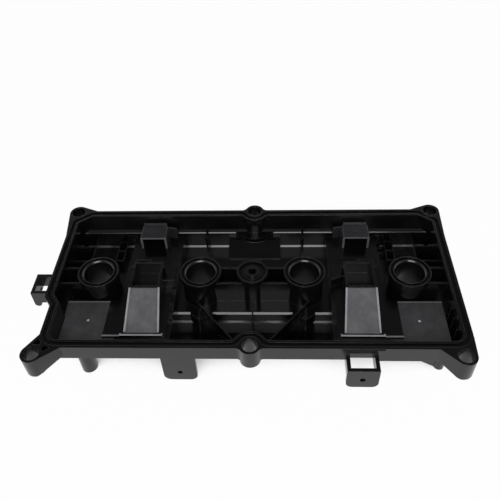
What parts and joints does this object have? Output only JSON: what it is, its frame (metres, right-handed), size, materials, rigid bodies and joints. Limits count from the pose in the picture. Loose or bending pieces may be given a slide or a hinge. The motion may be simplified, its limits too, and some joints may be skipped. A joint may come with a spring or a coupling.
{
  "type": "valve cover",
  "caption": "Black moulded valve cover of an in-line four-cylinder engine, engine side up, with plug tubes, breather plates and drain chutes.",
  "frame": {"origin": "axis of the centre bolt in the plane of the mating face", "axes": "+X along the row of plug tubes to the right, +Y across the head to the rear, +Z out of the mating face towards the cylinder head"},
  "size_m": [0.3573, 0.1809, 0.046],
  "materials": {
    "body": "satin",
    "plates": "satin",
    "rubber": "matte",
    "brass": "satin"
  },
  "bodies": {
    "root": {"cover": "body", "perimeter_gasket": "rubber", "tube_seal_1": "rubber", "tube_seal_2": "rubber", "tube_seal_3": "rubber", "tube_seal_4": "rubber", "centre_bolt_seal": "rubber", "baffle_plate_left": "plates", "baffle_plate_right": "plates", "chute_left": "plates", "chute_right": "plates", "breather_hood_left": "plates", "breather_hood_right": "plates", "coil_inserts": "brass"}
  },
  "joints": []
}
